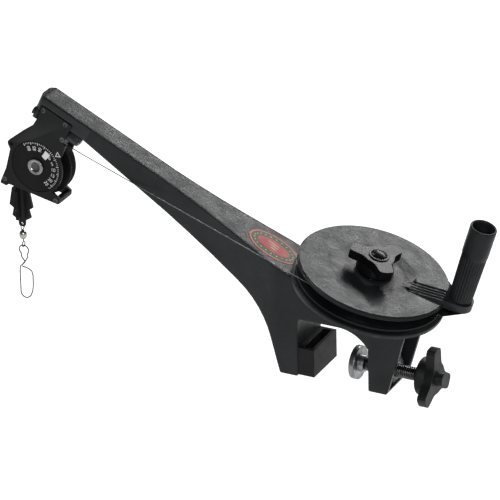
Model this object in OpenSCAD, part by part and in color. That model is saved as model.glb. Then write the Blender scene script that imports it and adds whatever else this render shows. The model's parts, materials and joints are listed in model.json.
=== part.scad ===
// Clamp-on manual downrigger: a moulded boom with a clamp foot, a hand reel on a tilted
// spindle, and a swinging tip head that carries the line pulley and its dial counter.
// +X runs from the boom tip to the clamp knob, +Y is the back, +Z is up.
// The origin is the middle of the flat saddle face that sits on top of the rail.

/* [Boom body] */
// Slope of the boom's top face above level
boom_angle = 26.3; // [26:0.1:26.6]
// Half width of the body at the clamp legs
leg_half = 24.6; // [24:0.1:25]
// Half width of the boom near its tip
boom_half = 11.5; // [11:0.1:12]
// Wall thickness of the moulding
wall = 4; // [3:0.5:5]
// Depth of the clamp legs below the saddle
leg_depth = 59; // [57:1:62]

/* [Clamp] */
// X of the inner face of the fixed jaw
fixed_jaw_x = -24; // [-25:0.5:-23]
// X of the inner face of the screw leg
screw_leg_x = 47.8; // [47:0.1:49]
// Height of the clamp screw's axis
screw_z = -45.3; // [-46:0.1:-44]
// Radius of the clamp screw
screw_r = 6.35; // [6.2:0.05:6.4]
// Radius of the pressure disc
press_r = 16; // [14:0.5:17]
// X of the pressure disc's face when the clamp is open
press_x = 23.2; // [20:0.1:26]

/* [Reel] */
// Lean of the reel axis towards the clamp screw
reel_tilt = 17; // [16.5:0.1:17.5]
// Radius of the reel's top disc
reel_r = 71.2; // [70:0.2:71.4]
// Radius of the wound line
wound_r = 56; // [55:0.5:56.5]
// Distance from the reel axis to the hand grip axis
crank_r = 82; // [81:0.5:86]
// Length of the hand grip
grip_len = 79; // [70:1:90]
// Radius of the hand grip's open top
grip_r = 12.5; // [12:0.1:13]

/* [Knobs] */
// Reach of the drag knob's arms from its axis
knob_reach = 26.8; // [25:0.2:28]
// Reach of the clamp knob's arms from its axis
clamp_knob_reach = 29.8; // [28:0.2:30]
// Half width of a knob arm
knob_arm_half = 7.5; // [6.5:0.5:8]

/* [Tip head] */
// Radius of the line pulley
pulley_r = 32; // [31:0.25:33]
// Radius at the bottom of the pulley's groove
groove_r = 26.5; // [26:0.1:26.6]
// Radius of the counter's dial
dial_r = 25.5; // [24:0.5:26]
// Radius of the pin that the head swings on
pin_r = 2.5; // [2:0.1:3]

/* [Hidden] */
$fn = 48;

// Boom outline, in the XZ plane
boom_ref = [-54, 54.1];
tip_x = -292;
tip_z = boom_ref[1] - tan(boom_angle) * (tip_x - boom_ref[0]);
saddle_arc_x = 17;
saddle_arc_r = 37;
platform_top = -19.5;
platform_thick = 4;
reel_at = [43.4, 0, 51.95];
boss_end_x = 66;

// Reel heights along its own axis, zero on the top disc's rim
rim_thick = 4.5;
flange_low = -19;
flange_thick = 2.5;
hub_r = 8.2;
spindle_r = 6;
screw_ring_r = 34.8;
ear_r = 13;
ear_top = 3.2;
grip_base = 3.8;
grip_floor = grip_base + grip_len - 15;
crank_phase = 12.2;

// Knob heights above its skirt rim
knob_skirt_r = 17.8;
knob_arms_low = 8;
knob_arms_top = 16.5;
knob_core_r = 14.5;
knob_bore_r = 8;

// Tip hinge, in the boom's own slope
pin_y = -6;
pin_drop = 22.5;
knuckle_r = 15;
knuckle_from = 6.1;
knuckle_to = 40.6;
lug_r = 6.3;
tip_half = 12;
tip_round = 7;

// Head, with Y from its front face to its back face
pulley_at = [-300.6, 96.3];
pulley_y = 3.6;
front_y = -12;
back_y = 12;
plate_thick = 2.6;
idler_angle = 100;
gear_module = 0.8;
pinion_teeth = 12;
wheel_teeth = 36;
gear_centres = gear_module * (pinion_teeth + wheel_teeth) / 2;
idler_at = [pulley_at[0] + gear_centres * cos(idler_angle),
    pulley_at[1] + gear_centres * sin(idler_angle)];
nose_at = [-325.5, 115.4];
foot_at = [-335.5, 77];
chin_at = [-281.2, 64.4];
cover_holes = [foot_at, chin_at, [-289.8, 155.2], [-266.6, 144.8], [-271, 129]];

// Line
line_r = 0.45;
run_start = [31.3, -55.7, 46.2];
lead_start = [-255.5, -2.4, 113.4];
drop_x = pulley_at[0] - groove_r - 0.6;
drop_z = 68.6;

// Hanging tackle, heights above the saddle
eye_hole_z = 25.5;
top_eye_r = 3.2;
low_eye_r = 2.6;
eye_wire_r = 0.5;
low_eye_z = 3.6;
snap_wire_r = 0.6;

body_col = [0.16, 0.17, 0.18];
black_col = [0.06, 0.06, 0.065];
steel_col = [0.72, 0.73, 0.74];
brass_col = [0.72, 0.58, 0.3];

// ---- helpers ----

function unit(v) = v / norm(v);

// Arc that rounds the corner b between a and c
function fillet(a, b, c, r, steps = 6) =
    let (u = unit(a - b), v = unit(c - b), half = acos(u * v) / 2,
        centre = b + unit(u + v) * r / sin(half), start = b + u * r / tan(half) - centre,
        side = (b - a)[0] * (c - b)[1] - (b - a)[1] * (c - b)[0] > 0 ? 1 : -1)
    [for (i = [0 : steps])
        let (t = side * (180 - 2 * half) * i / steps)
        centre + [start[0] * cos(t) - start[1] * sin(t), start[0] * sin(t) + start[1] * cos(t)]];

// Outline from corners given as [x, y, radius]
function rounded(c) =
    [for (i = [0 : len(c) - 1])
        let (n = len(c), p = c[(i + n - 1) % n], q = c[i], s = c[(i + 1) % n])
        each (q[2] == 0 ? [[q[0], q[1]]]
            : fillet([p[0], p[1]], [q[0], q[1]], [s[0], s[1]], q[2]))];

function arc(c, r, from, to, steps) =
    [for (i = [0 : steps])
        let (a = from + (to - from) * i / steps)
        [c[0] + r * cos(a), c[1] + r * sin(a)]];

function top_z(x) = boom_ref[1] - tan(boom_angle) * (x - boom_ref[0]);

// Height at x of a plane square to the reel axis, h above the disc rim
function reel_plane_z(x, h) =
    reel_at[2] + h * cos(reel_tilt) - tan(reel_tilt) * (x - reel_at[0] - h * sin(reel_tilt));

// Extrudes an XZ outline from one Y to another
module slab(y0, y1) {
    translate([0, y1, 0])
        rotate([90, 0, 0])
            linear_extrude(y1 - y0)
                children();
}

// Cylinder along +Y at an XZ point
module rod_y(at, r, y0, y1, sides = 48) {
    translate([at[0], y1, at[1]])
        rotate([90, 0, 0])
            cylinder(r = r, h = y1 - y0, $fn = sides);
}

// Cylinder along +X on the clamp screw's axis
module rod_x(r, x0, x1, y = 0, z = screw_z, sides = 48) {
    translate([x0, y, z])
        rotate([0, 90, 0])
            cylinder(r = r, h = x1 - x0, $fn = sides);
}

module in_reel() {
    translate(reel_at)
        rotate([0, reel_tilt, 0])
            children();
}

module in_crank() {
    in_reel()
        rotate([0, 0, crank_phase])
            children();
}

module in_tip() {
    translate([tip_x, 0, tip_z])
        rotate([0, boom_angle, 0])
            children();
}

// Cylinder on the tip hinge's axis, from one place along the boom to another
module hinge_rod(r, s0, s1) {
    translate([s0, pin_y, -pin_drop])
        rotate([0, 90, 0])
            cylinder(r = r, h = s1 - s0);
}

module ring(r_out, r_in, h0, h1) {
    translate([0, 0, h0])
        difference() {
            cylinder(r = r_out, h = h1 - h0);
            translate([0, 0, -1])
                cylinder(r = r_in, h = h1 - h0 + 2);
        }
}

module torus(r, wire) {
    rotate_extrude($fn = 40)
        translate([r, 0])
            circle(r = wire, $fn = 20);
}

// Round tube swept along points
module tube(points, r, sides = 8) {
    n = len(points);
    rings = [for (i = [0 : n - 1])
        let (t = unit(points[min(i + 1, n - 1)] - points[max(i - 1, 0)]),
            a = unit(cross(t, abs(t[1]) > 0.9 ? [1, 0, 0] : [0, 1, 0])), b = cross(t, a))
        each [for (k = [0 : sides - 1])
            points[i] + r * (a * cos(360 * k / sides) + b * sin(360 * k / sides))]];
    walls = [for (i = [0 : n - 2], k = [0 : sides - 1])
        let (j = (k + 1) % sides)
        [i * sides + k, i * sides + j, (i + 1) * sides + j, (i + 1) * sides + k]];
    start_cap = [for (k = [sides - 1 : -1 : 0]) k];
    end_cap = [for (k = [0 : sides - 1]) (n - 1) * sides + k];
    polyhedron(points = rings, faces = concat([start_cap], walls, [end_cap]), convexity = 4);
}

// ---- boom body ----

plan_half = [[-310, 0], [-164, 0], [-143, 0.08], [-119, 0.23], [-96, 0.46], [-74, 0.7],
    [-51, 0.97], [-45, 1], [140, 1]];

module plan_prism(inset) {
    side = [for (p = plan_half) [p[0], boom_half + (leg_half - boom_half) * p[1] - inset]];
    translate([0, 0, -90])
        linear_extrude(300)
            polygon(concat(side, [for (i = [len(side) - 1 : -1 : 0]) [side[i][0], -side[i][1]]]));
}

module side_outline() {
    leg_top_x = 88;
    arc_low = acos((screw_leg_x - saddle_arc_x) / saddle_arc_r);
    over = [[tip_x, tip_z, 6], [-28, top_z(-28), 0], [-25, reel_plane_z(-25, -21), 0],
        [leg_top_x, reel_plane_z(leg_top_x, -21), 0], [66.2, -leg_depth, 1.5],
        [screw_leg_x, -leg_depth, 1.5]];
    throat = [for (p = arc([saddle_arc_x, -saddle_arc_r], saddle_arc_r, arc_low, 90, 14))
        [p[0], p[1], 0]];
    under = [[fixed_jaw_x, 0, 3], [fixed_jaw_x, -leg_depth, 1.5], [-42.3, -leg_depth, 1.5],
        [-59.9, 6.2, 86], [-296, 164.4, 1]];
    polygon(rounded(concat(over, throat, under)));
}

module boom_pocket() {
    segment = 68.4;
    rib = 3;
    intersection() {
        slab(-60, 60)
            polygon([[-232, top_z(-232) - 6], [fixed_jaw_x - 6, top_z(fixed_jaw_x) - 12],
                [fixed_jaw_x - 6, -leg_depth + 4], [-90, -leg_depth + 4], [-260, 60]]);
        plan_prism(wall);
        for (i = [0 : 2])
            translate([-232 + i * segment, -60, -80])
                cube([segment - rib, 120, 300]);
    }
}

module leg_pocket() {
    web = 6;
    slab(-leg_half + wall, leg_half - wall)
        polygon([[screw_leg_x + web, -leg_depth + 3.5], [screw_leg_x + web, 16], [64, 16],
            [95, 7], [140, 7], [140, -leg_depth + 3.5]]);
}

module tip_block() {
    arch_r = knuckle_r + 0.5;
    lug_top = 9;
    lug_web = 2.5;
    difference() {
        union() {
            translate([0, -tip_half, -15])
                cube([58.9, 2 * tip_half, 14]);
            for (s = [[0, 5.6], [41.2, 52]]) {
                hinge_rod(lug_r, s[0], s[1]);
                translate([s[0], pin_y - lug_web, -pin_drop])
                    cube([s[1] - s[0], lug_web + lug_r, pin_drop - lug_top]);
            }
        }
        hinge_rod(arch_r, 5.6, 41.2);
        hinge_rod(pin_r + 0.05, -10, 60);
    }
}

// What is taken off the two end corners of the tip to round it
module tip_corners() {
    in_tip()
        for (s = [-1, 1])
            difference() {
                translate([-8, s > 0 ? tip_half - tip_round : -tip_half - 3, -32])
                    cube([tip_round + 8, tip_round + 3, 60]);
                translate([tip_round, s * (tip_half - tip_round), -33])
                    cylinder(r = tip_round, h = 62);
            }
}

module boom_body() {
    color(body_col)
        difference() {
            union() {
                difference() {
                    intersection() {
                        slab(-40, 40)
                            side_outline();
                        plan_prism(0);
                    }
                    boom_pocket();
                    leg_pocket();
                    in_tip()
                        hinge_rod(knuckle_r + 0.5, 5.6, 41.2);
                }
                in_tip()
                    tip_block();
                in_reel()
                    translate([0, 0, platform_top - platform_thick])
                        cylinder(r = reel_r + 1, h = platform_thick, $fn = 96);
                rod_x(13, screw_leg_x + 2, boss_end_x);
                translate([screw_leg_x + 3, -1.5, -31])
                    cube([18, 3, 50]);
            }
            rod_x(8.5, screw_leg_x - 5, boss_end_x + 5);
            in_reel()
                translate([0, 0, -80])
                    cylinder(r = spindle_r + 0.05, h = 90);
            in_reel()
                translate([0, 0, -80])
                    cylinder(r = 11, h = 36, $fn = 6);
            for (y = [-12, 12])
                rod_x(2.1, -40, -20, y, -48);
            tip_corners();
        }
}

module jaw_pad() {
    pad_depth = 16.6;
    pad_top = -29.6;
    pad_low = -57.5;
    color(black_col)
        difference() {
            slab(-24, 24)
                polygon([[fixed_jaw_x, pad_low], [fixed_jaw_x, pad_top],
                    [fixed_jaw_x + pad_depth, pad_top], [fixed_jaw_x + pad_depth, pad_low]]);
            translate([fixed_jaw_x + 5, -20.5, pad_top - 12])
                cube([8, 41, 14]);
            for (y = [-12, 12])
                rod_x(1.95, -30, -14, y, -48);
        }
}

module jaw_pad_screws() {
    color(steel_col)
        for (y = [-12, 12])
            difference() {
                union() {
                    rod_x(1.9, -30, -14.5, y, -48, 32);
                    rod_x(4, -32.4, -30, y, -48, 32);
                }
                rod_x(1.5, -33, -31, y, -48, 6);
            }
}

module clamp_insert() {
    color(brass_col)
        difference() {
            rod_x(8.5, screw_leg_x, boss_end_x);
            rod_x(screw_r + 0.08, screw_leg_x - 1, boss_end_x + 1);
        }
}

// ---- reel ----

module reel_spindle() {
    color(steel_col)
        in_reel()
            union() {
                translate([0, 0, -44.5])
                    cylinder(r = spindle_r, h = 58);
                translate([0, 0, -51])
                    cylinder(r = 10.4, h = 6.5, $fn = 6);
            }
}

module drag_washer() {
    color([0.35, 0.3, 0.24])
        in_reel()
            ring(21, spindle_r + 0.3, platform_top, -17.8);
}

module spool_lower_flange() {
    color(body_col)
        in_reel()
            difference() {
                rotate_extrude($fn = 96)
                    polygon([[hub_r, -17.6], [22, -17.6], [22, flange_low], [66, flange_low],
                        [69, -17.6], [69, -15.6], [67.5, -15.6], [60, flange_low + flange_thick],
                        [hub_r, flange_low + flange_thick]]);
                spool_screw_cuts();
            }
}

module spool_drum() {
    base = flange_low + flange_thick;
    tall = -rim_thick - base;
    color(body_col)
        in_reel()
            difference() {
                translate([0, 0, base])
                    cylinder(r = 42, h = tall, $fn = 96);
                translate([0, 0, base - 1])
                    cylinder(r = hub_r, h = tall + 2);
                for (i = [0 : 2])
                    rotate([0, 0, 120 * i])
                        translate([0, 0, base + 2.5])
                            linear_extrude(tall)
                                polygon(concat(arc([0, 0], 38, 12, 108, 12),
                                    arc([0, 0], 13, 90, 30, 6)));
                spool_screw_cuts();
            }
}

module spool_screw_cuts() {
    for (i = [0 : 2])
        rotate([0, 0, 120 * i])
            translate([screw_ring_r, 0, flange_low - 1]) {
                cylinder(r = 1.7, h = 14.5, $fn = 32);
                cylinder(r = 3.1, h = 2.6, $fn = 32);
            }
}

module spool_screws() {
    color(steel_col)
        in_reel()
            for (i = [0 : 2])
                rotate([0, 0, 120 * i])
                    translate([screw_ring_r, 0, flange_low]) {
                        cylinder(r = 1.65, h = 13.2, $fn = 32);
                        cylinder(r = 3, h = 1.6, $fn = 32);
                    }
}

// Crank ear with the thin ribs that climb to it from the dished disc
module crank_ear() {
    rib_from = 36;
    rib_gap = 4.4;
    rib_thick = 1;
    translate([0, 0, -rim_thick])
        linear_extrude(rim_thick + ear_top)
            polygon(concat(arc([crank_r, 0], ear_r, -90, 90, 18),
                [[reel_r - 3, ear_r], [reel_r - 3, -ear_r]]));
    for (i = [0 : 4])
        slab(i * rib_gap - ear_r, i * rib_gap - ear_r + rib_thick)
            polygon([[rib_from, -1], [reel_r, -1], [reel_r, ear_top - 0.1],
                [reel_r - 4, ear_top - 0.1], [rib_from, 0.3]]);
}

module spool_top_disc() {
    color(body_col)
        in_reel()
            difference() {
                union() {
                    rotate_extrude($fn = 96)
                        polygon([[hub_r, -rim_thick], [42.5, -rim_thick], [64, -2.6],
                            [67, -rim_thick], [reel_r - 0.5, -rim_thick], [reel_r, -4],
                            [reel_r, -1.2], [reel_r - 1, -1.2], [reel_r - 1, 0], [40, 0],
                            [28, -1], [16, -1], [16, -3], [hub_r, -3]]);
                    rotate([0, 0, crank_phase])
                        crank_ear();
                }
                rotate([0, 0, crank_phase])
                    translate([crank_r, 0, -10])
                        cylinder(r = 4.05, h = 30);
            }
}

module spool_bush() {
    color(brass_col)
        in_reel()
            ring(hub_r, spindle_r + 0.08, -17.6, -3);
}

module wound_cable() {
    color(steel_col)
        in_reel()
            rotate_extrude($fn = 96)
                polygon([[42.1, -16], [54.5, -16], [wound_r, -14], [wound_r, -6.8], [54.5, -5],
                    [42.1, -5]]);
}

module crank_pin() {
    color(steel_col)
        in_crank()
            translate([crank_r, 0, 0]) {
                translate([0, 0, -rim_thick - 4])
                    cylinder(r = 4, h = grip_floor + 0.5 + rim_thick + 4);
                translate([0, 0, grip_floor + 0.4])
                    cylinder(r = 7, h = 4);
            }
}

module crank_nut() {
    color(steel_col)
        in_crank()
            translate([crank_r, 0, -rim_thick - 3.6])
                difference() {
                    cylinder(r = 7.2, h = 3.6, $fn = 6);
                    translate([0, 0, -1])
                        cylinder(r = 4.05, h = 6);
                }
}

module hand_grip() {
    top = grip_base + grip_len;
    step = grip_base + 0.62 * grip_len;
    color([0.13, 0.13, 0.135])
        in_crank()
            translate([crank_r, 0, 0])
                rotate_extrude($fn = 64)
                    polygon([[4.08, grip_base], [10.2, grip_base], [11, grip_base + 1],
                        [11.9, step], [12.3, step + 0.4], [grip_r, top - 1], [grip_r - 0.8, top],
                        [grip_r - 2, top], [grip_r - 2.4, top - 4], [9.8, grip_floor],
                        [4.08, grip_floor]]);
}

module thrust_washer() {
    color(steel_col)
        in_reel()
            ring(15, spindle_r + 0.1, -2.8, -1.8);
}

module spring_washer() {
    color(steel_col)
        in_reel()
            rotate_extrude($fn = 64)
                polygon([[spindle_r + 0.2, -0.9], [13, -1.7], [13, -1.1], [spindle_r + 0.2, -0.3]]);
}

// ---- knobs ----

// Three-armed outline: arms of even width with round tips, blended to a round core
function knob_edge(a, reach) =
    let (side = knob_arm_half / max(abs(sin(a)), 0.02),
        arm = pow(pow(reach, -9) + pow(side, -9), -1 / 9))
    pow(pow(knob_core_r, 7) + pow(cos(a) > 0 ? arm : 1, 7), 1 / 7);

module knob_outline(reach) {
    points = 96;
    polygon([for (i = [0 : points - 1])
        let (a = 360 * i / points, near = a - 120 * round(a / 120))
        knob_edge(near, reach) * [cos(a), sin(a)]]);
}

// Knob with its skirt rim on z = 0 and its arms above
module knob_shape(reach) {
    difference() {
        union() {
            rotate_extrude($fn = 64)
                polygon([[0, 0], [knob_skirt_r - 0.8, 0], [knob_skirt_r, 0.8],
                    [knob_skirt_r, 2.4], [15.4, knob_arms_low + 1], [0, knob_arms_low + 1]]);
            translate([0, 0, knob_arms_low])
                linear_extrude(knob_arms_top - knob_arms_low)
                    knob_outline(reach);
        }
        translate([0, 0, -1])
            cylinder(r = knob_bore_r, h = knob_arms_top - 1);
    }
}

module drag_knob() {
    color(black_col)
        in_reel()
            translate([0, 0, 0.5])
                rotate([0, 0, 73])
                    difference() {
                        union() {
                            knob_shape(knob_reach);
                            ring(9.5, 7.6, knob_arms_top - 0.5, knob_arms_top + 1);
                        }
                        translate([0, 0, knob_arms_top - 2.5])
                            cylinder(r = 7.6, h = 6);
                    }
}

module drag_knob_insert() {
    color(brass_col)
        in_reel()
            ring(knob_bore_r, spindle_r + 0.08, 0.5, 14);
}

module drag_knob_cap() {
    cap_r = 7.55;
    color(black_col)
        in_reel()
            rotate_extrude($fn = 48)
                polygon(concat([[0, 14.4], [cap_r, 14.4]],
                    [for (i = [0 : 8])
                        let (a = 90 * i / 8)
                        [i == 8 ? 0 : cap_r * cos(a), 17.6 + 2.6 * sin(a)]]));
}

// ---- clamp screw ----

module pressure_disc() {
    color(steel_col)
        difference() {
            union() {
                rod_x(press_r, press_x, press_x + 5.5, sides = 64);
                rod_x(8, press_x + 5, press_x + 11);
            }
            rod_x(4.08, press_x + 3, press_x + 12);
        }
}

module clamp_screw() {
    color(steel_col)
        difference() {
            union() {
                rod_x(4, press_x + 3.2, press_x + 12);
                rod_x(screw_r, press_x + 11.4, 106);
            }
            translate([98, 0, screw_z - 20])
                cylinder(r = 1.55, h = 40, $fn = 32);
        }
}

module clamp_knob() {
    rim_x = 90;
    color(black_col)
        difference() {
            union() {
                translate([rim_x, 0, screw_z])
                    rotate([0, 90, 0])
                        rotate([0, 0, 180])
                            knob_shape(clamp_knob_reach);
                rod_x(9.4, rim_x + 0.5, rim_x + 16.5);
                rod_x(6.7, rim_x + 16, rim_x + 23.4);
            }
            rod_x(screw_r + 0.05, rim_x - 1, 106.1);
            translate([98, 0, screw_z - 20])
                cylinder(r = 1.6, h = 40, $fn = 32);
        }
}

module clamp_knob_pin() {
    color(steel_col)
        translate([98, 0, screw_z - 9])
            cylinder(r = 1.5, h = 18, $fn = 32);
}

// ---- tip hinge and head ----

module hinge_pin() {
    color(steel_col)
        in_tip()
            union() {
                hinge_rod(pin_r, -0.4, 54);
                hinge_rod(4, -1, -0.2);
            }
}

module hinge_pin_clips() {
    color(steel_col)
        in_tip()
            difference() {
                hinge_rod(4.6, 52.2, 53.2);
                hinge_rod(pin_r + 0.03, 51, 55);
            }
}

function head_outline() = concat(
    rounded([[-289.3, 159.9, 0], [-259.6, 144.6, 0], [-263.4, 131.6, 12], [-274.6, 106.8, 0]]),
    arc(pulley_at, 28, 20, -55, 14),
    rounded([[-284, 72.4, 0], [-276.6, 67, 1.5], [-277.4, 60.8, 2], [-330.7, 72.6, 1],
        [-334, 70.4, 1], [-340.6, 72.6, 1.5], [-333.2, 89, 12], [-327.6, 109.4, 0]]),
    arc(nose_at, 4.4, 215, 128, 8),
    rounded([[-312.4, 131.2, 0], [-301.6, 138.6, 4], [-297.4, 145, 0]]));

// What stays of the back plate above the pulley
back_limit = [[-345, 100], [-337.5, 105], [-325, 116], [-315, 122.5], [-309.5, 131],
    [-300, 150], [-240, 150], [-240, 40], [-345, 40]];

module knuckle_cut(r, s0, s1) {
    in_tip()
        hinge_rod(r, s0, s1);
}

module head_cover() {
    color(black_col)
        difference() {
            intersection() {
                slab(front_y, front_y + plate_thick)
                    polygon(head_outline());
                union() {
                    knuckle_cut(knuckle_r, knuckle_from, knuckle_to);
                    in_tip()
                        translate([-90, -30, -200])
                            cube([200, 60, 200 - pin_drop - 10]);
                }
            }
            rod_y(pulley_at, dial_r + 0.4, front_y - 1, front_y + 1.3, 96);
            rod_y(pulley_at, 5.9, front_y - 1, 0);
            rod_y(idler_at, 1.52, -10.65, 0, 32);
            rod_y(nose_at, 1.8, front_y - 1, front_y + 1.4, 32);
            for (at = cover_holes) {
                rod_y(at, 1.3, front_y - 1, 0, 32);
                rod_y(at, 2.6, front_y - 1, front_y + 1.2, 32);
            }
        }
}

module head_housing() {
    inner_y = front_y + plate_thick;
    color(black_col)
        difference() {
            union() {
                intersection() {
                    slab(back_y - plate_thick, back_y)
                        intersection() {
                            polygon(head_outline());
                            polygon(back_limit);
                        }
                    in_tip()
                        translate([-90, -30, -200])
                            cube([200, 60, 200 - 33]);
                }
                intersection() {
                    knuckle_cut(knuckle_r, knuckle_from, knuckle_to);
                    slab(inner_y, 20)
                        polygon(head_outline());
                }
                intersection() {
                    slab(inner_y, back_y - 0.5)
                        polygon(head_outline());
                    in_tip()
                        translate([knuckle_from, -30, -36.6])
                            cube([knuckle_to - knuckle_from, 60, 6]);
                    slab(-30, 30)
                        polygon([[-340, 133.2], [-250, 133.2], [-250, 170], [-340, 170]]);
                }
                rod_y(foot_at, 3, inner_y, back_y - 1, 32);
                slab(inner_y, back_y - 1)
                    polygon(rounded([[-284.4, 61.9, 1], [-284.4, 65, 0.5], [-276.8, 66.8, 1],
                        [-277.4, 60.8, 1.5]]));
            }
            in_tip()
                hinge_rod(pin_r + 0.08, 0, 60);
            rod_y(pulley_at, 3.03, 5, 20);
            for (at = cover_holes)
                rod_y(at, 1.22, front_y, front_y + 12, 32);
        }
}

module cover_screws() {
    color(steel_col)
        for (at = cover_holes)
            difference() {
                union() {
                    rod_y(at, 1.2, front_y + 1, front_y + 11, 32);
                    rod_y(at, 2.5, front_y + 0.1, front_y + 1.2, 32);
                }
                rod_y(at, 1.3, front_y - 1, front_y + 0.8, 6);
            }
}

module pulley_axle() {
    color(steel_col)
        rod_y(pulley_at, 3, front_y, back_y + 4.4);
}

module axle_nut() {
    color(steel_col)
        difference() {
            rod_y(pulley_at, 5.6, back_y, back_y + 3.4, 6);
            rod_y(pulley_at, 3.03, back_y - 1, back_y + 5);
        }
}

module dial_screw() {
    color(steel_col)
        difference() {
            rod_y(pulley_at, 8.2, front_y - 1.5, front_y);
            rod_y(pulley_at, 4.6, front_y - 2, front_y - 0.5, 6);
        }
}

module idler_shaft() {
    color(steel_col)
        rod_y(idler_at, 1.5, -10.6, -1.9, 32);
}

module pulley() {
    rim = 1.5;
    half = 5;
    color(black_col)
        translate([pulley_at[0], pulley_y, pulley_at[1]])
            rotate([90, 0, 0])
                rotate_extrude($fn = 96)
                    polygon([[4.5, -half], [pulley_r - 0.5, -half], [pulley_r, -half + 0.5],
                        [pulley_r, -half + rim - 0.1], [groove_r + 0.6, -1], [groove_r, -0.5],
                        [groove_r, 0.5], [groove_r + 0.6, 1], [pulley_r, half - rim + 0.1],
                        [pulley_r, half - 0.5], [pulley_r - 0.5, half], [4.5, half]]);
}

module pulley_bush() {
    color(brass_col)
        difference() {
            rod_y(pulley_at, 4.5, pulley_y - 5, pulley_y + 5);
            rod_y(pulley_at, 3.07, pulley_y - 6, pulley_y + 6);
        }
}

// Spur gear outline with one tooth pointing at angle phase
module gear_outline(teeth, phase) {
    pitch = 360 / teeth;
    root_r = gear_module * (teeth / 2 - 1.1);
    tip_r = gear_module * (teeth / 2 + 0.8);
    polygon([for (i = [0 : teeth - 1], k = [[-0.27, root_r], [-0.1, tip_r], [0.1, tip_r],
            [0.27, root_r]])
        let (a = phase + pitch * (i + k[0]))
        k[1] * [cos(a), sin(a)]]);
}

module gear(at, teeth, phase, y0, y1, bore) {
    difference() {
        translate([at[0], 0, at[1]])
            slab(y0, y1)
                gear_outline(teeth, phase);
        rod_y(at, bore, y0 - 1, y1 + 1, 32);
    }
}

module pulley_pinion() {
    color(brass_col)
        gear(pulley_at, pinion_teeth, idler_angle, -4.4, pulley_y - 5, 3.07);
}

module idler_gear() {
    color([0.85, 0.83, 0.76])
        union() {
            gear(idler_at, wheel_teeth, idler_angle + 180 + 180 / wheel_teeth, -4, -2.2, 1.56);
            gear(idler_at, pinion_teeth, idler_angle + 180, -8.6, -4, 1.56);
        }
}

module dial_gear() {
    color([0.85, 0.83, 0.76])
        gear(pulley_at, wheel_teeth, idler_angle + 180 / wheel_teeth, -8.4, -6, 3.07);
}

module dial_disc() {
    color(black_col)
        difference() {
            union() {
                rod_y(pulley_at, dial_r, front_y + 0.15, front_y + 1.15, 96);
                rod_y(pulley_at, 5.8, front_y + 1, -8.4);
            }
            rod_y(pulley_at, 3.07, front_y - 1, 0);
        }
}

module cable_lead() {
    bow = [0, 1.3, 0];
    wrap = [for (p = arc(pulley_at, groove_r + 0.6, 76, 180, 13)) [p[0], pulley_y, p[1]]];
    color(steel_col)
        tube(concat([lead_start, (lead_start + wrap[0]) / 2 + bow], wrap,
            [[drop_x, pulley_y, drop_z]]), line_r);
}

module cable_run() {
    along = lead_start - run_start;
    color(steel_col)
        translate(run_start)
            rotate([0, acos(along[2] / norm(along)), atan2(along[1], along[0])])
                cylinder(r = line_r, h = norm(along), $fn = 24);
}

// ---- hanging tackle ----

module terminator_fin() {
    slab(-1.5, 1.5)
        polygon([[-4.5, 66], [-9, 62], [-12.5, 44], [-8, 41], [-10, 33], [-4, 29.4],
            [4, 29.4], [10, 33], [8, 41], [12.5, 44], [9, 62], [4.5, 66]]);
}

module cable_terminator() {
    color(black_col)
        translate([drop_x, pulley_y, 0])
            difference() {
                union() {
                    terminator_fin();
                    slab(-1, 1)
                        polygon([[-4, 31], [-3.5, 24.2], [-2, 22.5], [2, 22.5], [3.5, 24.2],
                            [4, 31]]);
                    translate([0, 0, 30])
                        cylinder(r = 4.2, h = 36);
                    intersection() {
                        rotate([0, 0, 90])
                            terminator_fin();
                        translate([-20, -20, 30])
                            cube([40, 40, 40]);
                    }
                }
                translate([0, 0, eye_hole_z])
                    rotate([90, 0, 0])
                        rotate_extrude($fn = 32)
                            polygon([[0, -1.1], [2.1, -1.1], [1.2, -0.3], [1.2, 0.3],
                                [2.1, 1.1], [0, 1.1]]);
                translate([0, 0, 55])
                    cylinder(r = 1.6, h = 20, $fn = 32);
            }
}

module cable_crimp() {
    color(steel_col)
        translate([drop_x, pulley_y, 55.1])
            cylinder(r = 1.5, h = 13.2, $fn = 32);
}

module swivel_top_eye() {
    color(steel_col)
        translate([drop_x, pulley_y, 0]) {
            translate([0, 0, eye_hole_z - top_eye_r])
                rotate([0, 90, 0])
                    torus(top_eye_r, eye_wire_r);
            translate([0, 0, 18.2])
                cylinder(r = eye_wire_r, h = eye_hole_z - 2 * top_eye_r - 18, $fn = 24);
        }
}

module swivel_barrel() {
    color(steel_col)
        translate([drop_x, pulley_y, 0])
            rotate_extrude($fn = 48)
                polygon([[0, 9], [1.6, 9], [2.8, 10.2], [3.7, 12], [3.7, 15], [2.8, 17],
                    [1.4, 18.2], [0, 18.2]]);
}

module swivel_lower_eye() {
    color(steel_col)
        translate([drop_x, pulley_y, 0]) {
            translate([0, 0, low_eye_z])
                rotate([0, 90, 0])
                    torus(low_eye_r, eye_wire_r);
            translate([0, 0, low_eye_z + low_eye_r])
                cylinder(r = eye_wire_r, h = 9 - 0.05 - low_eye_z - low_eye_r, $fn = 24);
        }
}

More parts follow.
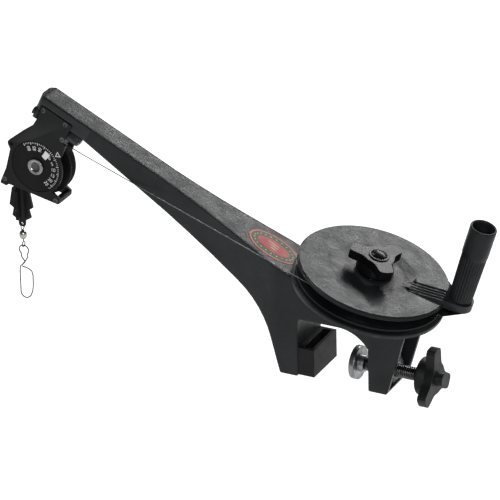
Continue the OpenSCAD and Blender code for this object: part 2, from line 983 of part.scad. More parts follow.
// Snap: a cross-wrapped small loop above a long D-shaped loop
snap_top_z = low_eye_z - low_eye_r + 1.25;
snap_upper = [for (a = [-50 : 20 : 230])
    [5.2 * cos(a), 0, snap_top_z - 4.8 + 4.8 * sin(a)]];
snap_route = concat([[-3.2, 1.4, -19], [-1, 1.6, -16.4], [1.6, 1.2, -12.8], [3.6, 0.6, -9.2]],
    snap_upper,
    [[-2.6, -0.6, -9.8], [1.6, -1.4, -14.4], [-0.6, -1.6, -17], [-4.2, -0.6, -20]],
    [[-5.4, 0, -24], [-5.6, 0, -36], [-5.6, 0, -47]],
    [for (a = [180 : 20 : 280]) [0.2 + 5.8 * cos(a), 0, -48 + 5.4 * sin(a)]],
    [[5, 0, -50.4], [7.4, 0, -45], [8.4, 0, -38], [8.6, 0, -28], [7.4, 0, -23.6],
        [4, 0, -21.6], [0, 0.4, -21], [-3.4, 1.3, -21.2]]);

module snap_wire() {
    color(steel_col)
        translate([drop_x, pulley_y, 0])
            tube(snap_route, snap_wire_r, 8);
}

module oval_decal() {
    color([0.55, 0.1, 0.1])
        translate([-58, -1, top_z(-58)])
            rotate([0, boom_angle, 0])
                linear_extrude(0.35)
                    polygon([for (i = [0 : 59]) [27 * cos(6 * i), 16.6 * sin(6 * i)]]);
}

boom_body();
jaw_pad();
jaw_pad_screws();
clamp_insert();
reel_spindle();
drag_washer();
oval_decal();
hinge_pin();
hinge_pin_clips();
cable_run();
spool_lower_flange();
spool_drum();
spool_top_disc();
spool_bush();
spool_screws();
wound_cable();
crank_pin();
crank_nut();
hand_grip();
thrust_washer();
spring_washer();
drag_knob();
drag_knob_insert();
drag_knob_cap();
pressure_disc();
clamp_screw();
clamp_knob();
clamp_knob_pin();
head_housing();
head_cover();
cover_screws();
pulley_axle();
axle_nut();
dial_screw();
idler_shaft();
cable_lead();
pulley();
pulley_bush();
pulley_pinion();
idler_gear();
dial_disc();
dial_gear();
cable_terminator();
cable_crimp();
swivel_top_eye();
swivel_barrel();
swivel_lower_eye();
snap_wire();
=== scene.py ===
"""Looks of the clamp-mount manual downrigger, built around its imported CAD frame."""
import json
import math

import bpy
from mathutils import Matrix, Vector


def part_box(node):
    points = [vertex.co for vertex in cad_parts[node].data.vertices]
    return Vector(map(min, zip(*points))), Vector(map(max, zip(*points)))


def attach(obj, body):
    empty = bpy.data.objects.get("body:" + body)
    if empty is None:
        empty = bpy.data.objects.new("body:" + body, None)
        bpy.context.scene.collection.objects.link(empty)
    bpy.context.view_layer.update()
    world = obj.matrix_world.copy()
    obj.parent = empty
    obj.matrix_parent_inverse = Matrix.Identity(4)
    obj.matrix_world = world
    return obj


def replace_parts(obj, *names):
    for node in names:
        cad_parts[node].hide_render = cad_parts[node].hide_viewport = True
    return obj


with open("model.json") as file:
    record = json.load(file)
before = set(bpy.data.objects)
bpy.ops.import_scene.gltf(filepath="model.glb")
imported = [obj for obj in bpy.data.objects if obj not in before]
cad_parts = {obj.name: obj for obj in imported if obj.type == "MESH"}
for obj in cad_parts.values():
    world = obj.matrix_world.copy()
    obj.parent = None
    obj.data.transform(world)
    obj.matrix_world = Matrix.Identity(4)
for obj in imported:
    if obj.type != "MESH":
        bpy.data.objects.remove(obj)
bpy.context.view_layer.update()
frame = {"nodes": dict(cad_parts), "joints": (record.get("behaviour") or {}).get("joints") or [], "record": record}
nodes = frame["nodes"]
joints = {j["name"]: j for j in frame["joints"]}
MM = 0.001


# ---- camera, floor and light ----

CAMERA_AZIMUTH = math.radians(27.54)
CAMERA_ELEVATION = math.radians(25.91)
CAMERA_ROLL = math.radians(-1.48)
CAMERA_DISTANCE = 3.6827
CAMERA_TARGET = Vector((-0.08315, 0.0, 0.04745))
CAMERA_LENS = 288.0
SENSOR_WIDTH = 36.0
CAMERA_REACH = 50.0

FLOOR_Z = -0.135
FLOOR_SIZE = 14.0
FLOOR_GREY = 0.4
FLOOR_GLOW = 0.85
SKY_STRENGTH = 0.14
LIGHT_AIM = Vector((-0.05, 0.0, 0.05))


def camera_axes():
    """Right, up and back directions of the camera."""
    az, el, roll = CAMERA_AZIMUTH, CAMERA_ELEVATION, CAMERA_ROLL
    back = Vector((math.sin(az) * math.cos(el), -math.cos(az) * math.cos(el), math.sin(el)))
    level = Vector((math.cos(az), math.sin(az), 0.0))
    rise = back.cross(level)
    right = level * math.cos(roll) + rise * math.sin(roll)
    up = rise * math.cos(roll) - level * math.sin(roll)
    return right, up, back


def add_camera():
    """Long-lens camera that looks at the part from the front right, from above."""
    right, up, back = camera_axes()
    data = bpy.data.cameras.new("camera")
    data.lens = CAMERA_LENS
    data.sensor_width = SENSOR_WIDTH
    data.clip_end = CAMERA_REACH
    camera = bpy.data.objects.new("camera", data)
    turned = Matrix((right, up, back)).transposed().to_4x4()
    camera.matrix_world = Matrix.Translation(CAMERA_TARGET + back * CAMERA_DISTANCE) @ turned
    bpy.context.scene.collection.objects.link(camera)
    bpy.context.scene.camera = camera


def add_light(name, place, size, power):
    """Rectangular soft light that shines at the middle of the part."""
    data = bpy.data.lights.new(name, "AREA")
    data.shape = "RECTANGLE"
    data.size, data.size_y = size
    data.energy = power
    light = bpy.data.objects.new(name, data)
    light.location = place
    light.rotation_euler = (LIGHT_AIM - Vector(place)).to_track_quat("-Z", "Y").to_euler()
    bpy.context.scene.collection.objects.link(light)


def add_floor():
    """Pale floor that glows a little, so that the part's shadow stays faint."""
    bpy.ops.mesh.primitive_plane_add(size=FLOOR_SIZE, location=(0.0, 0.0, FLOOR_Z))
    floor = bpy.context.object
    floor.name = "studio_floor"
    material = bpy.data.materials.new("studio_floor")
    material.use_nodes = True
    shader = material.node_tree.nodes["Principled BSDF"]
    shader.inputs["Base Color"].default_value = (FLOOR_GREY, FLOOR_GREY, FLOOR_GREY, 1.0)
    shader.inputs["Roughness"].default_value = 0.9
    shader.inputs["Emission Color"].default_value = (1.0, 1.0, 1.0, 1.0)
    shader.inputs["Emission Strength"].default_value = FLOOR_GLOW
    floor.data.materials.append(material)


def add_studio():
    """Floor, dim white surroundings and three soft lights."""
    add_floor()
    world = bpy.data.worlds.new("studio")
    world.use_nodes = True
    sky = world.node_tree.nodes["Background"]
    sky.inputs["Color"].default_value = (1.0, 1.0, 1.0, 1.0)
    sky.inputs["Strength"].default_value = SKY_STRENGTH
    bpy.context.scene.world = world
    add_light("key", (-0.9, 0.5, 1.7), (0.7, 0.35), 18.0)
    add_light("rim", (0.3, 1.6, 1.1), (1.6, 0.25), 30.0)
    add_light("front", (0.9, -1.8, 0.9), (0.5, 0.5), 20.0)
    bpy.context.scene.view_settings.view_transform = "Standard"


# ---- materials ----

def material_graph(name):
    """New material with its shader, its node tree and object coordinates."""
    material = bpy.data.materials.new(name)
    material.use_nodes = True
    tree = material.node_tree
    coordinates = tree.nodes.new("ShaderNodeTexCoord").outputs["Object"]
    return material, tree, tree.nodes["Principled BSDF"], coordinates


def noise(tree, coordinates, scale, detail, rough=0.55):
    """Soft random value, with features about 1 / scale metres across."""
    node = tree.nodes.new("ShaderNodeTexNoise")
    node.inputs["Scale"].default_value = scale
    node.inputs["Detail"].default_value = detail
    node.inputs["Roughness"].default_value = rough
    tree.links.new(coordinates, node.inputs["Vector"])
    return node.outputs["Fac"]


def spread(tree, value, low, high, start=0.3, end=0.7):
    """Maps a value from start..end to low..high."""
    node = tree.nodes.new("ShaderNodeMapRange")
    node.inputs["From Min"].default_value = start
    node.inputs["From Max"].default_value = end
    node.inputs["To Min"].default_value = low
    node.inputs["To Max"].default_value = high
    tree.links.new(value, node.inputs["Value"])
    return node.outputs["Result"]


def shade_between(tree, value, dark, light):
    """Colour that goes from dark to light as a value rises."""
    node = tree.nodes.new("ShaderNodeValToRGB")
    node.color_ramp.elements[0].color = (*dark, 1.0)
    node.color_ramp.elements[0].position = 0.3
    node.color_ramp.elements[1].color = (*light, 1.0)
    node.color_ramp.elements[1].position = 0.7
    tree.links.new(value, node.inputs["Fac"])
    return node.outputs["Color"]


def bump(tree, height, strength, distance, under=None):
    """Surface relief from a height, on top of the relief that is already under it."""
    node = tree.nodes.new("ShaderNodeBump")
    node.inputs["Strength"].default_value = strength
    node.inputs["Distance"].default_value = distance
    tree.links.new(height, node.inputs["Height"])
    if under is not None:
        tree.links.new(under, node.inputs["Normal"])
    return node.outputs["Normal"]


def worn_and_highlit(tree, colour, rubbed_highlit_colour, amount):
    """Lightens the sharp edges: partly rubbing wear from handling, partly a painted highlight along the edges."""
    edges = tree.nodes.new("ShaderNodeNewGeometry").outputs["Pointiness"]
    rubbed_highlit_mask = spread(tree, edges, 0.0, amount, 0.52, 0.62)
    mix = tree.nodes.new("ShaderNodeMixRGB")
    mix.inputs["Color2"].default_value = (*rubbed_highlit_colour, 1.0)
    tree.links.new(rubbed_highlit_mask, mix.inputs["Fac"])
    tree.links.new(colour, mix.inputs["Color1"])
    return mix.outputs["Color"]


SCRATCH_SCALE = 420.0
SCRATCH_DEPTH = 0.00005
MOTTLE_SCALE = 260.0
TURNING_DEPTH = 0.00012


def turning_marks(tree, place, centre, axis, scale):
    """Height of fine rings around an axis, as a lathe or a mould insert leaves them."""
    offset = tree.nodes.new("ShaderNodeVectorMath")
    offset.operation = "SUBTRACT"
    offset.inputs[1].default_value = centre
    tree.links.new(place, offset.inputs[0])
    cross = tree.nodes.new("ShaderNodeVectorMath")
    cross.operation = "CROSS_PRODUCT"
    cross.inputs[1].default_value = axis
    tree.links.new(offset.outputs["Vector"], cross.inputs[0])
    radius = tree.nodes.new("ShaderNodeVectorMath")
    radius.operation = "LENGTH"
    tree.links.new(cross.outputs["Vector"], radius.inputs[0])
    rings = tree.nodes.new("ShaderNodeTexNoise")
    rings.noise_dimensions = "1D"
    rings.inputs["Scale"].default_value = scale
    rings.inputs["Detail"].default_value = 4.0
    tree.links.new(radius.outputs["Value"], rings.inputs["W"])
    return rings.outputs["Fac"]


def scratches(tree, place):
    """Height of thin handling scratches that lie mostly one way."""
    stretch = tree.nodes.new("ShaderNodeMapping")
    stretch.inputs["Rotation"].default_value = (0.3, 0.2, 0.7)
    stretch.inputs["Scale"].default_value = (SCRATCH_SCALE * 0.03, SCRATCH_SCALE, SCRATCH_SCALE)
    tree.links.new(place, stretch.inputs["Vector"])
    lines = noise(tree, stretch.outputs["Vector"], 1.0, 2.0)
    return spread(tree, lines, 0.0, 1.0, 0.66, 0.7)


def plastic(name, dark, light, rough=(0.38, 0.55), grain=900.0, depth=0.00012, patch=28.0,
            wear_and_highlight_amount=0.25, specular=0.12, turned=None, mottle=0.00025, rounding=0.0006):
    """Moulded plastic: grain and mottled relief, patches of tone and sheen, edges lightened as rubbing wear and as
    painted highlight.

    grain is the fine grain's scale and depth its height; mottle is the coarse relief's height.
    patch is the scale of the patches; turned adds rings around (centre, axis, scale).
    """
    material, tree, shader, place = material_graph(name)
    shader.inputs["Specular IOR Level"].default_value = specular
    patches = noise(tree, place, patch, 5.0)
    colour = shade_between(tree, patches, dark, light)
    # Edge colour: rubbing wear plus a painted highlight on the sharp edges
    rubbed_highlit_edge = tuple(min(1.0, c * 2.2 + 0.02) for c in light)
    tree.links.new(worn_and_highlit(tree, colour, rubbed_highlit_edge, wear_and_highlight_amount), shader.inputs["Base Color"])
    sheen = noise(tree, place, patch * 2.3, 6.0, 0.65)
    tree.links.new(spread(tree, sheen, *rough), shader.inputs["Roughness"])
    corners = tree.nodes.new("ShaderNodeBevel")
    corners.inputs["Radius"].default_value = rounding
    fine = bump(tree, noise(tree, place, grain, 3.0), 0.35, depth, corners.outputs["Normal"])
    if turned:
        fine = bump(tree, turning_marks(tree, place, *turned), 0.5, TURNING_DEPTH, fine)
    fine = bump(tree, scratches(tree, place), 0.12, SCRATCH_DEPTH, fine)
    coarse = noise(tree, place, MOTTLE_SCALE, 5.0, 0.6)
    tree.links.new(bump(tree, coarse, 0.4, mottle, fine), shader.inputs["Normal"])
    return material


METAL_BRUSH = (900.0, 40.0, 40.0)
STAIN_SCALE = 180.0
BRUSH_DEPTH = 0.00003


def metal(name, dark, light, rough):
    """Bare or plated metal with fine machining marks along one axis and faint staining."""
    material, tree, shader, place = material_graph(name)
    shader.inputs["Metallic"].default_value = 1.0
    stretch = tree.nodes.new("ShaderNodeMapping")
    stretch.inputs["Scale"].default_value = METAL_BRUSH
    tree.links.new(place, stretch.inputs["Vector"])
    marks = noise(tree, stretch.outputs["Vector"], 1.0, 3.0)
    stains = noise(tree, place, STAIN_SCALE, 5.0)
    tree.links.new(shade_between(tree, stains, dark, light), shader.inputs["Base Color"])
    tree.links.new(spread(tree, marks, *rough), shader.inputs["Roughness"])
    tree.links.new(bump(tree, marks, 0.3, BRUSH_DEPTH), shader.inputs["Normal"])
    return material


REEL_TURNED = (tuple(joints["reel_spin"]["pos_m"]), tuple(joints["reel_spin"]["axis"]), 900.0)
PULLEY_TURNED = (tuple(joints["pulley_spin"]["pos_m"]), (0.0, 1.0, 0.0), 1200.0)

LOOKS = {
    "body_plastic": plastic("body_plastic", (0.006, 0.0068, 0.0074), (0.013, 0.0145, 0.0155),
                            (0.3, 0.5), 620.0, 0.0002, 30.0, 0.5, 0.17, mottle=0.0007,
                            rounding=0.0035),
    "reel_plastic": plastic("reel_plastic", (0.0045, 0.005, 0.0055), (0.010, 0.011, 0.012),
                            (0.28, 0.46), 700.0, 0.00016, 34.0, 0.4, 0.13, REEL_TURNED, 0.0005),
    "pad_plastic": plastic("pad_plastic", (0.003, 0.003, 0.0034), (0.007, 0.007, 0.0075),
                           (0.45, 0.6), wear_and_highlight_amount=0.35, specular=0.1),
    "head_plastic": plastic("head_plastic", (0.0035, 0.0038, 0.004), (0.008, 0.0085, 0.009),
                            (0.32, 0.5), 1100.0, wear_and_highlight_amount=0.3, specular=0.13),
    "pulley_plastic": plastic("pulley_plastic", (0.003, 0.003, 0.0034), (0.006, 0.006, 0.0065),
                              (0.34, 0.5), specular=0.12, turned=PULLEY_TURNED),
    "knob_gloss": plastic("knob_gloss", (0.0022, 0.0022, 0.0025), (0.0045, 0.0045, 0.005),
                          (0.24, 0.32), 300.0, 0.00001, wear_and_highlight_amount=0.1, specular=0.1,
                          mottle=0.00005),
    "knob_matte": plastic("knob_matte", (0.006, 0.0065, 0.007), (0.012, 0.0125, 0.0135),
                          (0.36, 0.55), wear_and_highlight_amount=0.3, specular=0.13),
    "grip_rubber": plastic("grip_rubber", (0.006, 0.0066, 0.007), (0.012, 0.013, 0.014),
                           (0.36, 0.5), 1400.0, wear_and_highlight_amount=0.3, specular=0.14),
    "dial_plastic": plastic("dial_plastic", (0.0025, 0.0025, 0.003), (0.005, 0.005, 0.0055),
                            (0.4, 0.55), 1300.0, specular=0.1, turned=PULLEY_TURNED),
    "gear_acetal": plastic("gear_acetal", (0.62, 0.6, 0.52), (0.72, 0.7, 0.63), (0.3, 0.4),
                           900.0, 0.00005),
    "friction_fibre": plastic("friction_fibre", (0.06, 0.045, 0.03), (0.13, 0.10, 0.07),
                              (0.75, 0.9), 1600.0, 0.0002, 240.0),
    "decal_vinyl": plastic("decal_vinyl", (0.17, 0.004, 0.006), (0.27, 0.010, 0.012),
                           (0.3, 0.42), 900.0, 0.00003),
    "zinc_steel": metal("zinc_steel", (0.12, 0.122, 0.125), (0.26, 0.265, 0.27), (0.26, 0.42)),
    "stainless": metal("stainless", (0.12, 0.12, 0.122), (0.28, 0.28, 0.285), (0.2, 0.34)),
    "nickel": metal("nickel", (0.20, 0.19, 0.17), (0.38, 0.37, 0.34), (0.14, 0.26)),
    "steel_cable": metal("steel_cable", (0.10, 0.102, 0.105), (0.27, 0.275, 0.28), (0.28, 0.42)),
    "brass": metal("brass", (0.14, 0.095, 0.035), (0.26, 0.19, 0.08), (0.3, 0.45)),
    "dark_steel": metal("dark_steel", (0.035, 0.035, 0.036), (0.10, 0.10, 0.10), (0.28, 0.42)),
    "print_white": plastic("print_white", (0.55, 0.55, 0.54), (0.72, 0.72, 0.71), (0.5, 0.6)),
    "print_pale": plastic("print_pale", (0.26, 0.22, 0.13), (0.36, 0.32, 0.21), (0.4, 0.5)),
    "print_olive": plastic("print_olive", (0.02, 0.023, 0.008), (0.04, 0.044, 0.018),
                           (0.35, 0.45)),
}


# ---- CAD nodes that stay ----

# Bevel widths in millimetres
EDGE_WIDTHS = {
    "boom_body": 2.2, "jaw_pad": 0.6, "spool_lower_flange": 0.3, "spool_top_disc": 0.4,
    "drag_knob": 1.1, "clamp_knob": 1.4, "head_housing": 0.6, "head_cover": 0.4, "pulley": 0.3,
    "cable_terminator": 0.4, "pressure_disc": 0.5, "dial_disc": 0.2, "crank_nut": 0.3,
    "axle_nut": 0.3, "reel_spindle": 0.4, "swivel_barrel": 0.3,
}
WELD_DISTANCE = 0.01 * MM
FLAT_ANGLE = math.radians(0.5)
SHARP_ANGLE = math.radians(34.0)


def dress_cad_nodes():
    """Gives every CAD node the finish that the record names for it."""
    for part in frame["record"]["subparts"]:
        node = nodes[part["node"]]
        node.data.materials.clear()
        node.data.materials.append(LOOKS[part["material_slot"]])


def round_edges(piece, width):
    """Breaks sharp edges, as a moulding or a turned part has them."""
    weld = piece.modifiers.new("weld", "WELD")
    weld.merge_threshold = WELD_DISTANCE
    flat = piece.modifiers.new("flat", "DECIMATE")
    flat.decimate_type = "DISSOLVE"
    flat.angle_limit = FLAT_ANGLE
    bevel = piece.modifiers.new("bevel", "BEVEL")
    bevel.width = width * MM
    bevel.segments = 2
    bevel.limit_method = "ANGLE"
    bevel.angle_limit = SHARP_ANGLE


# ---- building meshes ----

def new_piece(name, verts, faces, look, body, smooth=True):
    """Mesh piece with its finish, riding on a body of the frame."""
    mesh = bpy.data.meshes.new(name)
    mesh.from_pydata([tuple(v) for v in verts], [], faces)
    mesh.validate()
    piece = bpy.data.objects.new(name, mesh)
    bpy.context.scene.collection.objects.link(piece)
    piece.data.materials.append(LOOKS[look])
    if smooth:
        mesh.polygons.foreach_set("use_smooth", [True] * len(mesh.polygons))
        mesh.update()
    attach(piece, body)
    return piece


def ring_faces(rings, sides):
    """Faces of a closed skin over rings of points, with a flat end on the first and the last."""
    faces = []
    for i in range(rings - 1):
        near, far = i * sides, (i + 1) * sides
        for k in range(sides):
            j = (k + 1) % sides
            faces.append((near + k, near + j, far + j, far + k))
    last = (rings - 1) * sides
    return faces + [tuple(range(sides - 1, -1, -1)), tuple(range(last, last + sides))]


def lathe(place, profile, sides, shape=None):
    """Verts and faces of a turned solid: profile rows are (radius, height) in metres.

    shape(radius, height, turn) may change the radius around the axis.
    """
    verts = []
    for radius, height in profile:
        for k in range(sides):
            turn = 2 * math.pi * k / sides
            r = radius if shape is None else shape(radius, height, turn)
            verts.append(place @ Vector((r * math.cos(turn), r * math.sin(turn), height)))
    return verts, ring_faces(len(profile), sides)


def in_metres(rows):
    return [(radius * MM, height * MM) for radius, height in rows]


def joined(parts):
    """One mesh's verts and faces from several."""
    verts, faces = [], []
    for part_verts, part_faces in parts:
        base = len(verts)
        verts += part_verts
        faces += [tuple(base + i for i in face) for face in part_faces]
    return verts, faces


def axis_frame(origin, z_axis, x_hint):
    """Matrix of a local frame whose z runs along an axis and whose x leans to a hint."""
    z = Vector(z_axis).normalized()
    x = (Vector(x_hint) - z * Vector(x_hint).dot(z)).normalized()
    y = z.cross(x)
    rotation = Matrix((x, y, z)).transposed().to_4x4()
    return Matrix.Translation(Vector(origin)) @ rotation


# ---- hand grip ----

CRANK = axis_frame(joints["grip_spin"]["pos_m"], joints["grip_spin"]["axis"], (1, 0, 0))
GRIP_LOW = 3.8
GRIP_HIGH = 82.8
GRIP_STEP = GRIP_LOW + 0.62 * (GRIP_HIGH - GRIP_LOW)
FLUTES = 26
FLUTE_DEPTH = 0.75
FLUTE_ROWS = 24


def grip_profile():
    """Fluted lower part, smooth upper part and hollow top of the grip."""
    low, high, step = GRIP_LOW, GRIP_HIGH, GRIP_STEP
    rows = [(10.0, low), (10.8, low + 0.3), (11.0, low + 1.2)]
    for t in range(FLUTE_ROWS + 1):
        part = t / FLUTE_ROWS
        rows.append((11.0 + 0.9 * part, low + 2.0 + (step - low - 2.6) * part))
    rows += [(12.0, step - 0.2), (12.3, step + 0.5), (12.4, step + 6), (12.48, high - 6),
             (12.45, high - 1.2), (12.1, high - 0.35), (11.6, high), (10.8, high),
             (10.35, high - 0.5), (10.1, high - 4), (9.85, high - 14.6), (9.3, high - 15)]
    return in_metres(rows)


def fluted(radius, height, turn):
    """Radius with flutes cut in, fading out at both ends of the fluted part."""
    start = (GRIP_LOW + 1.6) * MM
    end = GRIP_STEP * MM
    if not start < height < end - 0.4 * MM or radius < 10.9 * MM:
        return radius
    ease = min(1.0, (height - start) / (1.5 * MM), (end - height) / (2.5 * MM))
    wave = 0.5 + 0.5 * math.cos(FLUTES * turn)
    return radius - FLUTE_DEPTH * MM * ease * (1.0 - wave ** 0.6)


def make_grip():
    verts, faces = lathe(CRANK, grip_profile(), FLUTES * 10, fluted)
    piece = new_piece("grip_sleeve", verts, faces, "grip_rubber", "grip")
    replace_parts(piece, "hand_grip")


# ---- clamp screw ----

SCREW_Z = -45.3 * MM
SCREW = axis_frame((0, 0, SCREW_Z), (1, 0, 0), (0, 1, 0))
THREAD_PITCH = 25.4 * MM / 13
THREAD_R = 6.3 * MM
THREAD_DEPTH = 0.55 * MM
ROWS_PER_PITCH = 8
NECK_R = 3.95 * MM
NECK_LENGTH = 8.4 * MM
SHOULDER_R = 5.6 * MM


def threaded(radius, height, turn):
    """Radius with a rounded thread cut into the full-width part of the screw."""
    if radius < THREAD_R:
        return radius
    phase = (height / THREAD_PITCH - turn / (2 * math.pi)) % 1.0
    return radius - THREAD_DEPTH * min(1.0, max(0.0, abs(phase - 0.5) * 2.6 - 0.3))


def make_screw():
    """Clamp screw with a plain neck inside the pressure disc and a thread along the rest."""
    box_low, box_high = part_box("clamp_screw")
    neck_end = box_low.x + NECK_LENGTH
    start, end = neck_end + 1.0 * MM, box_high.x - 1.0 * MM
    rows = int((end - start) / (THREAD_PITCH / ROWS_PER_PITCH))
    profile = [(NECK_R - 0.45 * MM, box_low.x), (NECK_R, box_low.x + 0.5 * MM),
               (NECK_R, neck_end), (SHOULDER_R, neck_end + 0.1 * MM)]
    profile += [(THREAD_R, start + (end - start) * i / rows) for i in range(rows + 1)]
    profile += [(SHOULDER_R, box_high.x)]
    verts, faces = lathe(SCREW, profile, 48, threaded)
    piece = new_piece("screw_thread", verts, faces, "dark_steel", "screw", smooth=False)
    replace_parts(piece, "clamp_screw")


# ---- dial ----

PULLEY_X = joints["pulley_spin"]["pos_m"][0]
PULLEY_Z = joints["pulley_spin"]["pos_m"][2]
DIAL_FACE = -11.85 * MM
COVER_FACE = -12.0 * MM
PRINT_THICK = 0.06 * MM

FIGURE_STEP = 18.5
ZERO_ANGLE = 36.0
TICK_RIM = 24.7
TICKS_PER_FIGURE = 4
FIGURE_SIZE = 4.9 * MM
FIGURE_R = 18.6 * MM
FIGURE_HALF_THICK = 0.03 * MM

POINTER_R = 29.2 * MM
POINTER_ANGLE = 33.5


def in_dial_plane(degrees):
    """Unit direction in the dial's plane, from +X towards +Z."""
    turn = math.radians(degrees)
    return Vector((math.cos(turn), 0.0, math.sin(turn)))


def on_dial(radius, angle, lift, face=DIAL_FACE):
    """Point in front of the dial's face: radius in metres, angle in degrees from +X to +Z."""
    return Vector((PULLEY_X, face - lift, PULLEY_Z)) + in_dial_plane(angle) * radius


def slab_on_dial(corners, thick):
    """Thin plate from (radius, angle) corners, standing a little off the dial."""
    count = len(corners)
    verts = [on_dial(r, a, 0.0) for r, a in corners]
    verts += [on_dial(r, a, thick) for r, a in corners]
    faces = [tuple(range(count)), tuple(range(2 * count - 1, count - 1, -1))]
    faces += [(i, i + count, (i + 1) % count + count, (i + 1) % count) for i in range(count)]
    return verts, faces


def tick(angle, inner, outer, half_width):
    """One radial dial mark with straight sides."""
    spread_in = math.degrees(half_width / inner)
    spread_out = math.degrees(half_width / outer)
    corners = [(inner, angle - spread_in), (outer, angle - spread_out),
               (outer, angle + spread_out), (inner, angle + spread_in)]
    return slab_on_dial(corners, PRINT_THICK)


def make_ticks():
    """Four marks to each figure step, one of them long, along the printed part of the rim."""
    parts = []
    for k in range(-20, 19):
        angle = ZERO_ANGLE + FIGURE_STEP * k / TICKS_PER_FIGURE
        long_tick = k % TICKS_PER_FIGURE == 2
        length = 2.6 if long_tick else 1.5
        half_width = 0.35 if long_tick else 0.25
        parts.append(tick(angle, (TICK_RIM - length) * MM, TICK_RIM * MM, half_width * MM))
    new_piece("dial_ticks", *joined(parts), "print_white", "dial", smooth=False)


def make_block():
    """White square block printed beside the zero."""
    corners = [(13.6 * MM, 38), (21.5 * MM, 41), (21.5 * MM, 58), (13.6 * MM, 60)]
    outline = slab_on_dial(corners, 0.05 * MM)
    new_piece("dial_block", *outline, "print_white", "dial", smooth=False)


def figure_mesh(text):
    """Flat raised figure, centred on its own origin."""
    curve = bpy.data.curves.new("figure_" + text, "FONT")
    curve.body = text
    curve.size = FIGURE_SIZE
    curve.align_x = "CENTER"
    curve.align_y = "CENTER"
    curve.extrude = FIGURE_HALF_THICK
    source = bpy.data.objects.new("figure_" + text, curve)
    bpy.context.scene.collection.objects.link(source)
    bpy.context.view_layer.update()
    mesh = bpy.data.meshes.new_from_object(source)
    bpy.data.objects.remove(source)
    return mesh


def numeral(text, angle):
    """Printed dial figure whose baseline runs outwards from the dial's middle."""
    mesh = figure_mesh(text)
    along = in_dial_plane(angle)
    upward = in_dial_plane(angle + 90)
    turned = Matrix((along, upward, along.cross(upward))).transposed().to_4x4()
    place = on_dial(FIGURE_R, angle, FIGURE_HALF_THICK + 0.005 * MM)
    mesh.transform(Matrix.Translation(place) @ turned)
    piece = bpy.data.objects.new("dial_figure_" + text, mesh)
    bpy.context.scene.collection.objects.link(piece)
    mesh.materials.clear()
    mesh.materials.append(LOOKS["print_white"])
    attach(piece, "dial")


def make_numerals():
    """Revolution figures both ways from zero; the block stands where 95 would be."""
    for k in range(-4, 6):
        if k != -1:
            numeral(str(5 * k % 100), ZERO_ANGLE - FIGURE_STEP * k)


def make_dial_screw():
    """Ring-shaped screw in the middle of the dial, whose socket floor is coloured dark steel as painted shade in
    the recess.
    """
    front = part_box("dial_screw")[0].y
    place = axis_frame((PULLEY_X, front, PULLEY_Z), (0, 1, 0), (1, 0, 0))
    ring = in_metres([(4.4, 1.0), (4.9, 0.25), (5.4, 0.0), (7.2, 0.0), (7.9, 0.25), (8.15, 0.6),
                      (8.15, 1.5)])
    piece = new_piece("dial_screw_ring", *lathe(place, ring, 64), "stainless", "head")
    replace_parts(piece, "dial_screw")
    # Socket floor in dark steel: painted shade in the screw's recess
    shaded_socket_floor = in_metres([(4.7, 0.75), (4.55, 0.5), (3.4, 0.9), (3.3, 1.2)])
    new_piece("dial_screw_socket_painted_shade", *lathe(place, shaded_socket_floor, 6), "dark_steel", "head", smooth=False)


def pointer_corners(radius):
    """Corners of a triangle on the cover that points at the dial's middle."""
    centre = on_dial(POINTER_R, POINTER_ANGLE, 0.0, COVER_FACE)
    return [centre + in_dial_plane(POINTER_ANGLE + a) * radius for a in (180, 300, 60)]


def make_pointer():
    """Outlined triangle on the cover that the dial is read against."""
    flat = pointer_corners(3.5 * MM) + pointer_corners(2.1 * MM)
    lift = Vector((0, -PRINT_THICK, 0))
    faces = []
    for i in range(3):
        j = (i + 1) % 3
        faces += [(6 + i, 6 + j, 9 + j, 9 + i), (i, j, 6 + j, 6 + i), (3 + j, 3 + i, 9 + i, 9 + j),
                  (i, 3 + i, 3 + j, j)]
    verts = flat + [v + lift for v in flat]
    new_piece("dial_pointer", verts, faces, "print_white", "head", smooth=False)


# ---- cable ----

CABLE_R = 0.45 * MM
CABLE_SIDES = 18
STRANDS = 6
STRAND_LAY = 5.0 * MM
RUN_START = Vector((31.3, -55.7, 46.2)) * MM
LEAD_START = Vector((-255.5, -2.4, 113.4)) * MM
LEAD_BOW = Vector((0, 1.3 * MM, 0))
LEAD_Y = 3.6 * MM
LEAD_END_Z = 68.6 * MM
WRAP_R = 27.1 * MM
WRAP_FROM = 76
WRAP_TO = 180
WRAP_STEPS = 12


def fine_path(points, step):
    """The same path with a point about every step."""
    out = []
    for a, b in zip(points, points[1:]):
        count = max(1, round((b - a).length / step))
        out += [a + (b - a) * k / count for k in range(count)]
    return out + [points[-1]]


def stranded(name, path, body, node):
    """Cable of six outer strands along a path, in place of a CAD tube."""
    verts = []
    travelled = 0.0
    x = Vector((0, 0, 1))
    for i, point in enumerate(path):
        z = (path[min(i + 1, len(path) - 1)] - path[max(i - 1, 0)]).normalized()
        x = (x - z * x.dot(z)).normalized()
        y = z.cross(x)
        if i:
            travelled += (point - path[i - 1]).length
        for k in range(CABLE_SIDES):
            turn = 2 * math.pi * k / CABLE_SIDES
            twist = turn - 2 * math.pi * travelled / STRAND_LAY
            radius = CABLE_R * (0.82 + 0.17 * abs(math.sin(STRANDS / 2 * twist)))
            verts.append(point + (x * math.cos(turn) + y * math.sin(turn)) * radius)
    faces = ring_faces(len(path), CABLE_SIDES)
    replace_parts(new_piece(name, verts, faces, "steel_cable", body), node)


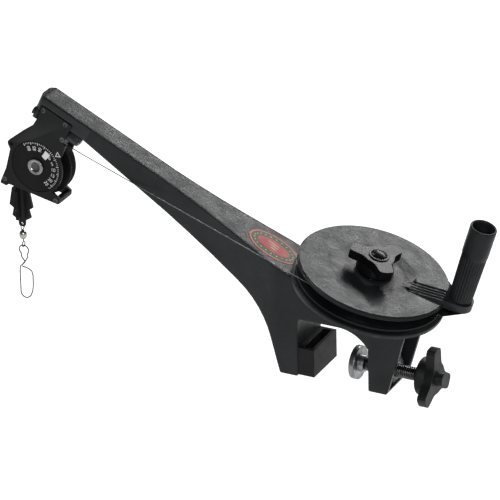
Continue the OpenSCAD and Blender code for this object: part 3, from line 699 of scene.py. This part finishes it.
def make_cables():
    """The taut run from the reel to the head, and the lead over the pulley."""
    run = fine_path([RUN_START, LEAD_START], 0.5 * MM)
    stranded("cable_to_head", run, "frame", "cable_run")
    wrap = []
    for k in range(WRAP_STEPS + 1):
        angle = WRAP_FROM + (WRAP_TO - WRAP_FROM) * k / WRAP_STEPS
        wrap.append(Vector((PULLEY_X, LEAD_Y, PULLEY_Z)) + in_dial_plane(angle) * WRAP_R)
    points = [LEAD_START, (LEAD_START + wrap[0]) / 2 + LEAD_BOW] + wrap
    points.append(Vector((wrap[-1].x, LEAD_Y, LEAD_END_Z)))
    stranded("cable_over_pulley", fine_path(points, 0.6 * MM), "head", "cable_lead")


# ---- decal ----

BOOM_SLOPE = math.radians(26.3)
ALONG = Vector((math.cos(BOOM_SLOPE), 0, -math.sin(BOOM_SLOPE)))
ACROSS = Vector((0, 1, 0))
RISE = Vector((math.sin(BOOM_SLOPE), 0, math.cos(BOOM_SLOPE)))
DECAL_THICK = 0.35
DOTS = 22


def oval(centre, a, b, bottom, top, sides=72):
    """Flat oval on the boom's top, from bottom to top above the label's base, all in mm."""
    low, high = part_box("oval_decal")
    base = (low + high) / 2 - RISE * DECAL_THICK / 2 * MM
    verts = []
    for h in (bottom, top):
        for k in range(sides):
            t = 2 * math.pi * k / sides
            u = centre[0] + a * math.cos(t)
            v = centre[1] + b * math.sin(t)
            verts.append(base + (ALONG * u + ACROSS * v + RISE * h) * MM)
    faces = [tuple(range(sides - 1, -1, -1)), tuple(range(sides, 2 * sides))]
    faces += [(k, (k + 1) % sides, (k + 1) % sides + sides, k + sides) for k in range(sides)]
    return verts, faces


def decal_piece(name, mesh, look):
    return new_piece(name, *mesh, look, "frame", smooth=False)


def make_decal():
    """Oval label beside the reel: red border, olive ring of dots, red middle, pale bars."""
    middle = (0.0, 0.0)
    border = decal_piece("decal_border", oval(middle, 26.9, 16.5, 0.0, 0.16), "decal_vinyl")
    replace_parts(border, "oval_decal")
    decal_piece("decal_line", oval(middle, 25.2, 14.9, 0.16, 0.19), "print_pale")
    decal_piece("decal_ring", oval(middle, 24.6, 14.3, 0.19, 0.22), "print_olive")
    dots = []
    for k in range(DOTS):
        t = 2 * math.pi * k / DOTS
        dots.append(oval((20.9 * math.cos(t), 11.2 * math.sin(t)), 0.8, 0.8, 0.22, 0.25, 12))
    decal_piece("decal_dots", joined(dots), "print_pale")
    decal_piece("decal_middle", oval(middle, 17.4, 8.4, 0.22, 0.26), "decal_vinyl")
    bars = []
    for k in range(3):
        place = (1.5 * k - 1.5, 3.2 - 3.2 * k)
        bars.append(oval(place, 6.5 - 1.4 * k, 0.75, 0.26, 0.3, 24))
    decal_piece("decal_bars", joined(bars), "print_pale")


# ---- ribs in the clamp screw's leg ----

RIB_BACK = 53.5
RIB_INNER = 10.4
RIB_OUTER = 12.6
RIB_CHAMFER = 0.5
# Height of each row of the rib, and how far its front edge reaches, in millimetres
RIB_ROWS = [(-54.0, 56.9), (-20.0, 59.1), (14.0, 59.1)]


def rib(side):
    """One upright rib of the leg: a plate with a chamfered front edge that narrows downwards."""
    inner, outer, chamfer = side * RIB_INNER, side * RIB_OUTER, side * RIB_CHAMFER
    verts = []
    for height, front in RIB_ROWS:
        corners = [(RIB_BACK, inner), (front - RIB_CHAMFER, inner), (front, inner + chamfer),
                   (front, outer - chamfer), (front - RIB_CHAMFER, outer), (RIB_BACK, outer)]
        verts += [Vector((x, y, height)) * MM for x, y in corners]
    faces = ring_faces(len(RIB_ROWS), 6)
    return verts, faces if side > 0 else [face[::-1] for face in faces]


def make_leg_ribs():
    """Two stiffening ribs, one each side of the screw boss."""
    new_piece("leg_ribs", *joined([rib(-1), rib(1)]), "body_plastic", "frame", smooth=False)


# ---- everything ----

def make_pieces():
    """Finishes on the CAD nodes, then the pieces that Blender adds."""
    dress_cad_nodes()
    for name, width in EDGE_WIDTHS.items():
        round_edges(nodes[name], width)
    make_grip()
    make_screw()
    make_ticks()
    make_block()
    make_numerals()
    make_pointer()
    make_decal()
    make_dial_screw()
    make_cables()
    make_leg_ribs()


add_camera()
add_studio()
make_pieces()
